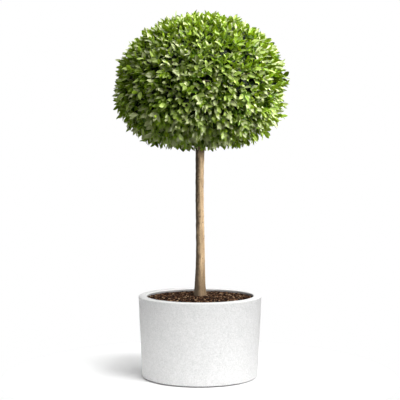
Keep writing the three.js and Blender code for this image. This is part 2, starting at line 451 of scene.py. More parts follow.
def welded(bm, distance):
    """Merges points that are closer than a distance, and turns the faces outwards."""
    bmesh.ops.remove_doubles(bm, verts=bm.verts[:], dist=distance)
    bmesh.ops.recalc_face_normals(bm, faces=bm.faces[:])


def doubled(bm):
    """Duplicates a whole bmesh, and gives its new parts."""
    return bmesh.ops.duplicate(bm, geom=bm.verts[:] + bm.edges[:] + bm.faces[:])["geom"]


def turned(profile, steps):
    """A closed bmesh of a profile of radius and height, turned about the upright axis."""
    bm = bmesh.new()
    verts = [bm.verts.new((r, 0.0, z)) for r, z in profile]
    edges = [bm.edges.new(pair) for pair in zip(verts, verts[1:])]
    bmesh.ops.spin(
        bm, geom=verts + edges, cent=(0, 0, 0), axis=(0, 0, 1), angle=2 * math.pi, steps=steps, use_merge=True
    )
    welded(bm, TINY)
    bm.normal_update()
    return bm


def mesh_of(bm, name, sharp=math.radians(40)):
    """A smooth-shaded mesh from a bmesh, sharp where its faces meet at more than an angle."""
    mesh = bpy.data.meshes.new(name)
    for face in bm.faces:
        face.smooth = True
    bm.to_mesh(mesh)
    bm.free()
    mesh.set_sharp_from_angle(angle=sharp)
    return mesh


def add_piece(name, mesh, materials, slot, replaced):
    """Puts a finished mesh in the scene, riding on the plant's one body, in place of a node."""
    piece = bpy.data.objects.new(name, mesh)
    bpy.context.scene.collection.objects.link(piece)
    for material in materials:
        mesh.materials.append(material)
    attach(piece, BODY)
    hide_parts(replaced)


class Template:
    """A small bmesh as arrays, to be repeated many times in one joined mesh."""

    def __init__(self, bm):
        bm.verts.index_update()
        self.points = np.array([v.co for v in bm.verts])
        self.across = np.sign(np.round(self.points[:, 0], 5))
        self.loops = np.array([v.index for f in bm.faces for v in f.verts])
        self.sizes = np.array([len(f.verts) for f in bm.faces])
        self.face_materials = np.array([f.material_index for f in bm.faces])
        self.triangles = int((self.sizes - 2).sum())
        bm.free()

    def joined(self, name, points, uv=None, sharp=None, materials=None):
        """One mesh of every copy's points.

        uv is by template point, sharp by pair of template points, and materials by copy.
        """
        copies, per_copy = points.shape[:2]
        mesh = bpy.data.meshes.new(name)
        mesh.vertices.add(copies * per_copy)
        mesh.vertices.foreach_set("co", points.astype(np.float32).ravel())
        loops = (self.loops[None, :] + per_copy * np.arange(copies)[:, None]).ravel()
        mesh.loops.add(len(loops))
        mesh.loops.foreach_set("vertex_index", loops.astype(np.int32))
        sizes = np.tile(self.sizes, copies)
        mesh.polygons.add(len(sizes))
        mesh.polygons.foreach_set("loop_start", (np.cumsum(sizes) - sizes).astype(np.int32))
        mesh.polygons.foreach_set("use_smooth", np.ones(len(sizes), bool))
        of_copy = np.zeros(copies, int) if materials is None else materials
        by_face = self.face_materials[None, :] + of_copy[:, None]
        mesh.polygons.foreach_set("material_index", by_face.ravel().astype(np.int32))
        if uv is not None:
            layer = mesh.uv_layers.new(name="blade")
            layer.data.foreach_set("uv", np.tile(uv[self.loops], (copies, 1)).astype(np.float32).ravel())
        mesh.update(calc_edges=True)
        if sharp is not None:
            ends = np.empty(len(mesh.edges) * 2, np.int32)
            mesh.edges.foreach_get("vertices", ends)
            ends = ends.reshape(-1, 2) % per_copy
            flags = mesh.attributes.new("sharp_edge", "BOOLEAN", "EDGE")
            flags.data.foreach_set("value", sharp[ends[:, 0], ends[:, 1]])
        return mesh


def new_material(name, roughness, specular):
    """A Principled material, and its tree and shader."""
    material = bpy.data.materials.new(name)
    material.use_nodes = True
    tree = material.node_tree
    shader = next(n for n in tree.nodes if n.type == "BSDF_PRINCIPLED")
    shader.inputs["Roughness"].default_value = roughness
    shader.inputs["Specular IOR Level"].default_value = specular
    return material, tree, shader


def node(tree, kind, inputs=None, **settings):
    """A node with its settings, and its inputs given as numbers, colours or the sockets they come from."""
    made = tree.nodes.new(kind)
    for key, value in settings.items():
        setattr(made, key, value)
    for key, value in (inputs or {}).items():
        if isinstance(value, bpy.types.NodeSocket):
            tree.links.new(value, made.inputs[key])
        else:
            made.inputs[key].default_value = value
    return made


def object_place(tree, rise=1.0):
    """Object coordinates, with their height squeezed or stretched."""
    place = node(tree, "ShaderNodeTexCoord").outputs["Object"]
    return node(tree, "ShaderNodeMapping", {"Vector": place, "Scale": (1.0, 1.0, rise)}).outputs["Vector"]


def axes(tree, where):
    """The three parts of a place."""
    return node(tree, "ShaderNodeSeparateXYZ", {0: where}).outputs


def cloud(tree, where, scale, detail, roughness):
    """A noise from 0 to 1."""
    inputs = {"Vector": where, "Scale": scale, "Detail": detail, "Roughness": roughness}
    return node(tree, "ShaderNodeTexNoise", inputs).outputs["Fac"]


def ramp(tree, factor, low, high, to_low=0.0, to_high=1.0):
    """A number carried from one range to another, and kept inside it."""
    inputs = {"Value": factor, "From Min": low, "From Max": high, "To Min": to_low, "To Max": to_high}
    return node(tree, "ShaderNodeMapRange", inputs).outputs["Result"]


def patches(tree, where, texture):
    """A noise with more contrast, from a texture's scale, detail, roughness, low and high."""
    scale, detail, roughness, low, high = texture
    return ramp(tree, cloud(tree, where, scale, detail, roughness), low, high)


def mixed(tree, factor, first, second):
    """A mix of two colours."""
    made = node(tree, "ShaderNodeMix", data_type="RGBA")
    for socket, value in ((made.inputs[0], factor), (made.inputs[6], first), (made.inputs[7], second)):
        if isinstance(value, bpy.types.NodeSocket):
            tree.links.new(value, socket)
        else:
            socket.default_value = value if isinstance(value, float) else (*value[:3], 1.0)
    return made.outputs[2]


def maths(tree, first, second, operation="MULTIPLY"):
    """Two numbers put together by one operation."""
    return node(tree, "ShaderNodeMath", {0: first, 1: second}, operation=operation).outputs[0]


def shade(colour, factor):
    """A lighter or darker colour."""
    return tuple(min(1.0, c * factor) for c in colour[:3])


def two_tone(tree, factor, colour, dark, pale):
    """A colour that changes from a darker to a paler shade of itself."""
    return mixed(tree, factor, shade(colour, dark), shade(colour, pale))


def spots(tree, where, scale, fade, share):
    """Small soft spots in some cells of a pattern, which fade over a distance from the cell's middle."""
    cells = node(tree, "ShaderNodeTexVoronoi", {"Vector": where, "Scale": scale}).outputs
    pick = node(tree, "ShaderNodeSeparateColor", {0: cells["Color"]}).outputs[0]
    return maths(tree, ramp(tree, cells["Distance"], *fade, 1.0, 0.0), ramp(tree, pick, *share))


def bumped(tree, shader, height, distance, strength):
    """Gives a shader its fine relief."""
    inputs = {"Height": height, "Distance": distance, "Strength": strength}
    tree.links.new(node(tree, "ShaderNodeBump", inputs).outputs["Normal"], shader.inputs["Normal"])


def concrete(settings):
    """Pale cast concrete: blotches and speckle, pores darkened with painted shade, a painted highlight on the
    rim, an inner wall darkened by soil stain and painted shade, and a painted shadow under the foot.
    """
    material, tree, shader = new_material("pale_cast_concrete", *CONCRETE_FINISH)
    where = object_place(tree)
    colour = tuple(settings.concrete)
    tone = None
    for *texture, dark, pale, share in CONCRETE_LAYERS:
        grain = patches(tree, where, texture)
        layer = two_tone(tree, grain, colour, dark, pale)
        tone = layer if tone is None else mixed(tree, share, tone, layer)
    pore = spots(tree, where, *PORES)
    # The pores are darkened: painted shade in the pits
    tone = mixed(tree, maths(tree, pore, PORE_TONE), tone, shade(colour, PORE_SHADE))
    place = axes(tree, where)
    off_axis = node(tree, "ShaderNodeCombineXYZ", {0: place[0], 1: place[1]}).outputs[0]
    radius = node(tree, "ShaderNodeVectorMath", {0: off_axis}, operation="LENGTH").outputs[1]
    # The inner wall darkens towards the soil: partly soil stain, partly painted shade of the gap between soil
    # and wall
    inner = RIM_RADIUS - WALL
    inside = ramp(tree, radius, inner, inner + INNER_EDGE, 1.0, 0.0)
    down = ramp(tree, place[2], PLANTER_TOP - SOIL_DROP_AT_WALL, PLANTER_TOP - INNER_EDGE, *INNER_WALL_SHARES)
    tone = mixed(tree, maths(tree, inside, down), tone, WALL_SOIL_STAIN_AND_SHADE)
    # Painted highlight: the rim's top is made lighter, as if lit from above
    painted_rim_highlight = ramp(tree, place[2], PLANTER_TOP - RIM_ROUNDING, PLANTER_TOP - SOFT_EDGE, 0.0, PAINTED_RIM_HIGHLIGHT_SHARE)
    tone = mixed(tree, painted_rim_highlight, tone, shade(colour, PAINTED_RIM_HIGHLIGHT_SHADE))
    # Painted shadow: the recess of the foot under the wall is coloured dark
    under = ramp(tree, place[2], FOOT_GAP - SOFT_EDGE, FOOT_GAP + SOFT_EDGE, PAINTED_SHADOW_SHARE_UNDER_FOOT, 0.0)
    tree.links.new(mixed(tree, under, tone, PAINTED_SHADOW_UNDER_FOOT), shader.inputs["Base Color"])
    tree.links.new(ramp(tree, grain, 0.0, 1.0, *CONCRETE_ROUGHNESS), shader.inputs["Roughness"])
    relief = maths(tree, cloud(tree, where, *CONCRETE_RELIEF), maths(tree, pore, PORE_DEPTH), "SUBTRACT")
    bumped(tree, shader, relief, *CONCRETE_BUMP)
    return material


def grained(name, colour, finish):
    """A finish of one colour with a little grain, from one of the tables of finishes."""
    roughness, specular, texture, shades, relief, bump = finish
    material, tree, shader = new_material(name, roughness, specular)
    where = object_place(tree)
    tone = two_tone(tree, patches(tree, where, texture), colour, *shades)
    tree.links.new(tone, shader.inputs["Base Color"])
    if relief:
        bumped(tree, shader, cloud(tree, where, *relief), *bump)
    return material


def bark(settings):
    """Bark of the stem: pale and dark streaks, small scars, a soiled foot and painted shade on its left side.
    """
    material, tree, shader = new_material("stem_bark", *BARK_FINISH)
    colour = tuple(settings.bark)
    dark = tuple(settings.bark_dark)
    streaks, broad, grain = (patches(tree, object_place(tree, rise), kind) for rise, kind in BARK_TEXTURES)
    between = mixed(tree, STREAK_DARKNESS, colour, dark)
    tone = mixed(tree, streaks, between, shade(colour, STREAK_PALE))
    dull = mixed(tree, BROAD_DARKNESS, shade(colour, BROAD_SHADE), dark)
    tone = mixed(tree, maths(tree, broad, BROAD_SHARE), tone, dull)
    fine = mixed(tree, grain, shade(dark, GRAIN_DARK), shade(colour, GRAIN_PALE))
    tone = mixed(tree, GRAIN_SHARE, tone, fine)
    place = axes(tree, object_place(tree))
    low, high = SOILED_HEIGHTS
    soiled = ramp(tree, place[2], PLANTER_TOP + low, PLANTER_TOP + high, SOILED_SHARE, 0.0)
    tone = mixed(tree, soiled, tone, two_tone(tree, grain, dark, *SOILED_SHADES))
    # Painted shade: the stem's left side is darkened, with a wandering edge
    wobble = maths(tree, cloud(tree, object_place(tree, PAINTED_SHADE_STRETCH), *PAINTED_SHADE_TEXTURE), PAINTED_SHADE_WANDER)
    shadowed = ramp(tree, maths(tree, place[0], wobble, "ADD"), *PAINTED_SHADE_EDGES, PAINTED_SHADE_SHARE, 0.0)
    tone = mixed(tree, shadowed, tone, shade(dark, PAINTED_SHADE_DARKNESS))
    scar = maths(tree, spots(tree, object_place(tree, SCAR_STRETCH), *SCARS), SCAR_SHARE)
    tree.links.new(mixed(tree, scar, tone, shade(dark, SCAR_SHADE)), shader.inputs["Base Color"])
    bumped(tree, shader, maths(tree, streaks, scar, "SUBTRACT"), *BARK_BUMP)
    return material


def leaf_blade(name, colour, see_through, roughness, gloss, vein):
    """A leaf's finish: waxy, with a paler midrib, soft mottling and some light coming through."""
    material, tree, shader = new_material(name, roughness, LEAF_SPECULAR * gloss)
    shader.inputs["Coat Weight"].default_value = LEAF_COAT * gloss
    shader.inputs["Coat Roughness"].default_value = LEAF_COAT_ROUGHNESS
    tone = two_tone(tree, patches(tree, object_place(tree), LEAF_MOTTLE), colour, *MOTTLE_SHADES)
    blade = axes(tree, node(tree, "ShaderNodeUVMap", uv_map="blade").outputs[0])
    off_middle = maths(tree, blade[0], 0.5, "SUBTRACT")
    off_midrib = node(tree, "ShaderNodeMath", {0: off_middle}, operation="ABSOLUTE").outputs[0]
    midrib = ramp(tree, off_midrib, *MIDRIB_EDGES, vein, 0.0)
    tone = mixed(tree, midrib, tone, tuple(0.5 * c + 0.5 * p for c, p in zip(colour, VEIN_COLOUR)))
    tree.links.new(tone, shader.inputs["Base Color"])
    glow = node(tree, "ShaderNodeBsdfTranslucent", {"Color": mixed(tree, 0.5, tone, GLOW_COLOUR)})
    both = node(tree, "ShaderNodeMixShader", {0: see_through, 1: shader.outputs[0], 2: glow.outputs[0]})
    output = next(n for n in tree.nodes if n.type == "OUTPUT_MATERIAL")
    tree.links.new(both.outputs[0], output.inputs["Surface"])
    return material


def leaf_finishes(settings):
    """For every tone of leaf, the finishes of its upper face and its underside."""
    under = {}
    for name, factor, *finish in UNDERSIDES:
        under[name] = leaf_blade(f"{name}_underside", shade(settings.underside, factor), *finish, UNDER_VEIN)
    for name, *finish, side in LEAF_TONES:
        upper = leaf_blade(f"{name}_leaf", tuple(getattr(settings, name)), *finish, UPPER_VEIN)
        yield name, [upper, under[side]]


def outer_wall(z):
    """Radius of the planter's outside at a height."""
    return FOOT_RADIUS + (RIM_RADIUS - FOOT_RADIUS) * z / PLANTER_TOP


def soil_height(radius):
    """Height of the compost's mound at a radius."""
    inner = RIM_RADIUS - WALL
    out = smooth((radius - SOIL_SEAT_RADIUS) / (inner - SOIL_SEAT_RADIUS))
    return PLANTER_TOP - SOIL_DROP_AT_STEM - (SOIL_DROP_AT_WALL - SOIL_DROP_AT_STEM) * out


def planter_profile(spacing):
    """Outline of the planter's wall and foot, from the middle of its underside to the middle of its floor."""
    quarter = math.pi / 2
    rim_edge = PLANTER_TOP - RIM_ROUNDING
    foot_edge = FOOT_GAP + FOOT_ROUNDING
    foot = FOOT_RADIUS - FOOT_INSET
    floor = COMPOST_FOOT - SEAM
    rim = outer_wall(rim_edge)
    underside = densified([(0.0, 0.0), (foot, 0.0), (foot, FOOT_GAP)], UNDERSIDE_SPACING)
    wall = arc(outer_wall(foot_edge) - FOOT_ROUNDING, foot_edge, FOOT_ROUNDING, -quarter, 0.0, FOOT_STEPS)
    wall += arc(rim - RIM_ROUNDING, rim_edge, RIM_ROUNDING, 0.0, quarter, RIM_STEPS)
    wall += arc(rim - WALL + RIM_ROUNDING, rim_edge, RIM_ROUNDING, quarter, 2 * quarter, RIM_STEPS)
    lip = (rim - WALL - LIP_INSET, rim_edge - LIP_DROP)
    inside = densified([lip, (outer_wall(floor) - WALL, floor), (0.0, floor)], INSIDE_SPACING)
    return underside + densified(wall, spacing) + inside


def pit_planter(bm, settings):
    """Casting marks: long soft waves over the whole outside, and shallow pits where air was trapped."""
    wall = [v for v in bm.verts if math.hypot(v.co.x, v.co.y) > outer_wall(v.co.z) - WALL + SOFT_EDGE]
    normals = {v: v.normal.copy() for v in wall}
    tree = kdtree.KDTree(len(wall))
    for i, v in enumerate(wall):
        tree.insert(v.co, i)
    tree.balance()
    moved = [waves_at(v.co, WALL_WAVES) * smooth(v.co.z / WAVE_FADE) for v in wall]
    for pit in range(settings.pits):
        turn = 2 * math.pi * chance(pit, 21)
        z = varied(PIT_HEIGHTS, pit, 22)
        radius = varied(PIT_RADII, pit, 23, SMALL_PITS)
        where = Vector((outer_wall(z) * math.cos(turn), outer_wall(z) * math.sin(turn), z))
        for _, i, distance in tree.find_range(where, radius):
            moved[i] -= PIT_DEPTH * radius * (1 - (distance / radius) ** 2)
    for v, distance in zip(wall, moved):
        v.co += normals[v] * distance


def roughen_soil(bm):
    """Lumps on the compost's top."""
    edge = PLANTER_TOP - SOIL_DROP_AT_WALL
    for v in bm.verts:
        if v.co.z > edge - SOFT_EDGE:
            v.co.z += waves_at(v.co, SOIL_LUMPS) - SOIL_SETTLING


def compost_profile():
    """Outline of the compost, from the middle of its foot over its mound to the stem."""
    inner = outer_wall(PLANTER_TOP - SOIL_DROP_AT_WALL) - WALL - SEAM
    rows = np.linspace(inner, SOIL_SEAT_RADIUS * INNERMOST_ROW, COMPOST_ROWS)
    foot = [(0.0, COMPOST_FOOT), (outer_wall(COMPOST_FOOT) - WALL - SEAM, COMPOST_FOOT)]
    return foot + [(r, float(soil_height(r))) for r in (*rows, 0.0)]


def chip_template():
    """A bark chip of unit size: a slab with slanting ends."""
    bm = bmesh.new()
    bmesh.ops.create_cube(bm, size=1.0)
    for v in bm.verts:
        slants = [slant if v.co[axis - 1] > 0 else 1.0 for axis, slant in enumerate(CHIP_SLANTS)]
        v.co = [part * slant for part, slant in zip(v.co, slants)]
    return Template(bm)


def scatter_chips(settings, template):
    """Points and tones of the chips that lie over the compost."""
    i = np.arange(settings.chips)
    inner = RIM_RADIUS - WALL - CHIP_EDGE
    radius = inner * np.sqrt(BARE_MIDDLE + (1 - BARE_MIDDLE) * (i + 0.5) / settings.chips)
    turn = i * GOLDEN_TURN + CHIP_TURN * chance(i, 31)
    radius = np.minimum(radius + either_way(CHIP_STRAY, i, 32), inner)
    length = settings.chip_length * varied(CHIP_LENGTHS, i, 33, SHORT_CHIPS)
    size = np.stack([length, length * varied(CHIP_WIDTHS, i, 34), length * varied(CHIP_HEIGHTS, i, 35)], 1)
    yaw = 2 * math.pi * chance(i, 36)
    pitch = either_way(CHIP_PITCH, i, 37)
    along = np.stack([np.cos(yaw) * np.cos(pitch), np.sin(yaw) * np.cos(pitch), np.sin(pitch)], 1)
    level = unit(np.cross(UP, along))
    roll = either_way(CHIP_ROLL, i, 38)
    side = level * np.cos(roll)[:, None] + np.cross(along, level) * np.sin(roll)[:, None]
    height = soil_height(radius) + CHIP_LIFT * chance(i, 39) - CHIP_SINK
    centre = np.stack([radius * np.cos(turn), radius * np.sin(turn), height], 1)
    local = template.points[None] * size[:, None, :]
    points = centre[:, None, :] + sum(
        local[..., axis : axis + 1] * basis[:, None, :]
        for axis, basis in enumerate((along, side, np.cross(along, side)))
    )
    limits = [limit for _, _, limit in CHIP_TONES]
    return points, np.searchsorted(limits, chance(i, 40))


def stem_reach(z, turn):
    """Radius of the stem at a height and a turn about its axis, as in the part's source."""
    h = z - STEM_FOOT
    head_foot = HEAD_CENTRE[2] - HEAD_DROP - STEM_FOOT
    flare = math.exp(-h / FLARE_REACH)
    swell = HEAD_SWELL * math.exp(-(((h - head_foot) / HEAD_SWELL_REACH) ** 2))
    thin = (STEM_RADIUS - STEM_TIP_RADIUS) * smooth((h - head_foot) / (STEM_TIP - STEM_FOOT - head_foot))
    r = STEM_RADIUS - thin + swell + FLARE_RADIUS * flare
    r += FLARE_RADIUS * flare * BUTTRESS_SHARE * math.cos(BUTTRESSES * turn + BUTTRESS_TURN)
    for height, knot_turn, bulge in KNOTS:
        across = r * math.atan2(math.sin(turn - knot_turn), math.cos(turn - knot_turn))
        away = ((h - height) ** 2 + across**2) / (2 * KNOT_REACH**2)
        r += bulge * math.exp(-away) - KNOT_HOLLOW * bulge * math.exp(-HOLLOW_SHARPNESS * away)
    return r


def stem_centre(z):
    """Centre of the stem at a height, as in the part's source."""
    up = (z - STEM_FOOT) / (STEM_TIP - STEM_FOOT)
    away = STEM_SWAY * float(smooth(up * SWAY_FADE) * smooth((1 - up) * SWAY_FADE))
    return away * math.sin(up * SWAY_TURNS[0]), away * math.cos(up * SWAY_TURNS[1])


def bark_relief(p, depth):
    """Long shallow cracks up the stem, with finer ones between."""
    long, fine, rough = (noise.noise(Vector((p.x * a, p.y * a, p.z * b))) for a, b in BARK_GRIDS)
    cracks = LONG_DEPTH * min(abs(long), LONG_LIMIT) - BARK_LEVEL
    return depth * (cracks + FINE_DEPTH * fine + ROUGH_DEPTH * rough)


def stem_profile():
    """A stem of unit radius, with close rows where its bark shows and wide ones inside the head."""
    hidden = HEAD_CENTRE[2] - HEAD_DROP + BARK_END
    heights = [*np.arange(STEM_FOOT, hidden, BARK_ROW), *np.linspace(hidden, STEM_TIP, HIDDEN_ROWS)]
    return [(0.0, STEM_FOOT), *((1.0, float(z)) for z in heights), (0.0, STEM_TIP)]


def shape_stem(bm, depth):
    """Carries a plain unit-radius stem to its true taper, flare, knots and bark."""
    for v in bm.verts:
        z = v.co.z
        out = math.hypot(v.co.x, v.co.y)
        x, y = stem_centre(z)
        turn = math.atan2(v.co.y, v.co.x)
        r = out * stem_reach(z, turn)
        on_bark = out > 0.5
        if on_bark:
            r += bark_relief(Vector((r * math.cos(turn), r * math.sin(turn), z)), depth)
        v.co = Vector((x + r * math.cos(turn), y + r * math.sin(turn), z))


def head_reach(directions, squareness=(CROWN_SQUARENESS, SKIRT_SQUARENESS), drop=HEAD_DROP):
    """Distance from the head's centre to its clipped outline, as in the part's source."""
    up = directions[..., 2] >= 0
    n = np.where(up, *squareness)
    across = np.hypot(directions[..., 0], directions[..., 1]) / HEAD_RADIUS
    along = np.abs(directions[..., 2]) / np.where(up, HEAD_RISE, drop)
    return (across**n + along**n) ** (-1 / n)


def leafy_reach(directions):
    """Distance from the head's centre to the outline that its leaves reach."""
    return head_reach(directions, LEAFY_SQUARENESS, LEAFY_DROP)


def head_normal(directions):
    """The way that the clipped outline faces, along directions from the head's centre."""
    up = directions[..., 2:3] >= 0
    n = np.where(up, CROWN_SQUARENESS, SKIRT_SQUARENESS)
    height = np.where(up, HEAD_RISE, HEAD_DROP)
    radius = np.full_like(height, HEAD_RADIUS)
    point = directions * head_reach(directions)[..., None]
    across = np.hypot(point[..., 0:1], point[..., 1:2]) / HEAD_RADIUS
    across = np.maximum(across, AXIS_LIMIT) ** (n - 2)
    along = np.abs(point[..., 2:3] / height) ** (n - 2)
    slope = np.concatenate([across, across, along], axis=-1)
    return unit(slope * point / np.concatenate([radius, radius, height], axis=-1) ** 2)


def in_head(points):
    """Whether points are inside the leafy outline."""
    out = points - HEAD_CENTRE
    return np.linalg.norm(out, axis=-1) <= leafy_reach(unit(out))


def clear_of_stem(points, radius):
    """Whether points keep clear of the stem below its tip."""
    off = np.hypot(points[..., 0], points[..., 1])
    return (points[..., 2] > STEM_TIP) | (off > STEM_RADIUS + radius + STEM_KEEP_OUT)


def spread(count, order):
    """Directions spread evenly on a golden spiral, each moved a little, as in the part's source."""
    i = np.arange(count)
    step = TIP_JITTER * math.sqrt(4 / count)
    z = 1 - (2 * i + 1) / count
    turn = i * GOLDEN_TURN + order
    flat = np.sqrt(1 - z * z)
    even = (flat * np.cos(turn), flat * np.sin(turn), z)
    draws = (order, order + 0.3, order + 0.6)
    return unit(np.stack([part + either_way(step, i, k) for part, k in zip(even, draws)], axis=1))


def nearest(ends, forks, rise):
    """For every end, the nearest fork that lies deeper in the head than it by a rise."""
    depth_of_ends = np.linalg.norm(ends - HEAD_CENTRE, axis=1)
    depth_of_forks = np.linalg.norm(forks - HEAD_CENTRE, axis=1)
    apart = (ends**2).sum(1)[:, None] + (forks**2).sum(1)[None] - 2 * ends @ forks.T
    apart = apart + TOO_SHALLOW * (depth_of_forks[None] > depth_of_ends[:, None] - rise)
    return forks[apart.argmin(1)]


class Limbs:
    """The limbs of one order: their starts, ends and radii."""

    def __init__(self, start, end, radii):
        self.start = start
        self.end = end
        self.radii = radii

    def kept(self, keep):
        """The same limbs without some."""
        return Limbs(self.start[keep], self.end[keep], self.radii)

    def forks(self, shares):
        """Points along every limb, where the next order may spring."""
        return np.concatenate([self.start + (self.end - self.start) * share for share in shares])


def depth_inside(directions, number, depth, vary):
    """How far inside the leafy outline the limbs of one order end, along their directions."""
    lumps = np.array([noise.noise(Vector(d) * LUMP_GRID + LUMP_PLACE) for d in directions])
    mean = 1 / (1 + FEW_LONG)
    draw = chance(np.arange(len(directions)), number + 0.9)
    uneven = (1 - UNEVEN * directions[:, 2]) * (draw**FEW_LONG - mean)
    deep = depth + vary * (mean + uneven) + LUMP_DEPTH * np.maximum(lumps, 0.0)
    deep = deep - SKIRT_EASE * smooth(-SKIRT_SLOPE * directions[:, 2] - SKIRT_START)
    deep = deep - SHOULDER_EASE * np.maximum(directions @ SHOULDER, 0.0) ** SHOULDER_FALL
    return deep / (head_normal(directions) * directions).sum(1)


def branching(settings):
    """The source's three orders, where a limb springs from the nearest end before it, and two finer ones."""
    orders = []
    ends = None
    for number, (count, share, depth, root, tip) in enumerate(ORDERS, start=1):
        directions = spread(count, number)
        end = directions * (share * head_reach(directions) - depth)[:, None] + HEAD_CENTRE
        if ends is None:
            start = np.zeros_like(end)
            start[:, 2] = STEM_TIP + STEM_HUB_RISE * (directions[:, 2] + 1) / 2
        else:
            start = nearest(end, ends, ANY_DEPTH)
        ends = end
        orders.append(Limbs(start, end, (root, tip)).kept(clear_of_stem(end, tip)))
    forks = np.concatenate([orders[1].forks(FORKS[-1:]), orders[2].forks(FORKS[:2])])
    for count, depth, vary, radii in (
        (settings.spurs, SPUR_DEPTH, SPUR_SPREAD, SPUR_RADII),
        (settings.shoots, settings.shoot_depth, settings.shoot_spread, SHOOT_RADII),
    ):
        number = len(orders) + 1
        directions = spread(count, number)
        reach = leafy_reach(directions) - depth_inside(directions, number, depth, vary)
        end = directions * reach[:, None] + HEAD_CENTRE
        limbs = Limbs(nearest(end, forks, FORK_RISE), end, radii)
        orders.append(limbs.kept(clear_of_stem(end, radii[1])))
        forks = np.concatenate([orders[2].forks(FORKS[1:]), orders[-1].forks(FORKS)])
    return orders


def limb_template(sides, steps):
    """A limb of unit radius and length along Z, in steps."""
    bm = bmesh.new()
    bmesh.ops.create_cone(bm, cap_ends=True, segments=sides, radius1=1.0, radius2=1.0, depth=1.0)
    upright = [e for e in bm.edges if abs(e.verts[0].co.z - e.verts[1].co.z) > 0.5]
    bmesh.ops.subdivide_edges(bm, edges=upright, cuts=steps - 1, use_grid_fill=True)
    for v in bm.verts:
        v.co.z += 0.5
    return Template(bm)


def limb_points(limbs, template, bow, seed):
    """Points of bowed, tapering limbs, copy by copy."""
    run = limbs.end - limbs.start
    length = np.linalg.norm(run, axis=1)[:, None]
    along = unit(run)
    across = unit(np.cross(along, np.where(np.abs(along[:, 2:3]) > NEARLY_UPRIGHT, SIDEWAYS, UP)))
    over = np.cross(along, across)
    i = np.arange(len(run))
    turn = 2 * math.pi * chance(i, seed)[:, None]
    lean = across * np.cos(turn) + over * np.sin(turn)
    t = template.points[:, 2]
    root, tip = limbs.radii
    radius = (root + (tip - root) * t)[None, :, None]
    sway = bow * length * varied(BOW_VARIES, i, seed + 0.5)[:, None]
    spine = limbs.start[:, None] + run[:, None] * t[None, :, None]
    spine = spine + lean[:, None] * (sway * np.sin(math.pi * t)[None, :])[..., None]
    ring = template.points[None, :, 0:1] * across[:, None] + template.points[None, :, 1:2] * over[:, None]
    return spine + ring * radius


def leaf_template():
    """A closed leaf of unit length and width.

    Two sheets of a grid meet along the outline. The lower one takes the second material.
    """
    stations = ((0.0, 0.0), *LEAF_STATIONS, (1.0, 0.0))
    bm = bmesh.new()
    bmesh.ops.create_grid(bm, x_segments=2, y_segments=len(stations) - 1, size=0.5)
    for v in bm.verts:
        along, width = stations[round((v.co.y + 0.5) * (len(stations) - 1))]
        v.co = Vector((v.co.x * width, along, 0.0))
    welded(bm, MERGED)
    if sum(f.normal.z for f in bm.faces) < 0:
        bmesh.ops.reverse_faces(bm, faces=bm.faces[:])
    lower = doubled(bm)
    lower_faces = [g for g in lower if isinstance(g, bmesh.types.BMFace)]
    bmesh.ops.reverse_faces(bm, faces=lower_faces)
    for face in lower_faces:
        face.material_index = 1
    for v in (g for g in lower if isinstance(g, bmesh.types.BMVert)):
        if abs(v.co.x) < TINY and 0.0 < v.co.y < 1.0:
            v.co.z = -LEAF_THICKNESS
    bmesh.ops.remove_doubles(bm, verts=bm.verts[:], dist=MERGED)
    return Template(bm)


def blade_edges(template):
    """Where each point of a leaf lies on its blade, and which pairs of them a sharp edge joins."""
    along = template.points[:, 1]
    rib = template.across == 0
    edge = ~rib | (along < TINY) | (along > 1 - TINY)
    sharp = (rib[:, None] & rib[None]) | (edge[:, None] & edge[None])
    return np.stack([0.5 + 0.5 * template.across, along], axis=1), sharp


def old_leaf_template():
    """A plain eight-faced leaf for the shaded inside, of unit length and width."""
    bm = bmesh.new()
    bmesh.ops.create_cone(bm, cap_ends=False, segments=4, radius1=0.5, radius2=0.0, depth=0.5)
    mirrored = doubled(bm)
    low = min(v.co.z for v in bm.verts)
    for v in bm.verts:
        v.co.z -= low
    for v in (g for g in mirrored if isinstance(g, bmesh.types.BMVert)):
        v.co.z *= -1
    welded(bm, MERGED)
    return Template(bm)


def leaf_shape(template, root, run, side, up, length, width, fold, curl):
    """Points of folded, curling leaves, copy by copy."""
    x = template.points[:, 0][None] * width[:, None]
    y = template.points[:, 1][None] * length[:, None]
    lift = template.points[:, 2][None] * length[:, None]
    lift = lift + fold[:, None] * np.abs(template.across)[None] * np.abs(x)
    lift = lift - curl[:, None] * (template.points[:, 1][None] ** 2) * length[:, None]
    points = root[:, None]
    for part, basis in ((x, side), (y, run), (lift, up)):
        points = points + part[..., None] * basis[:, None]
    return points


def faced(run, up, root, pull, roll):
    """Sides and upper faces of leaves that turn part of the way to the light, out and up."""
    out = unit(root - HEAD_CENTRE)
    level, above = LIGHT_FROM_OUTSIDE
    light = square_to(unit((level + above * out[..., 2:3]) * out + UP), run)
    up = square_to(unit(up + pull[..., None] * light), run)
    side = np.cross(run, up)
    side = side * np.cos(roll)[..., None] + up * np.sin(roll)[..., None]
    return side, np.cross(side, run)


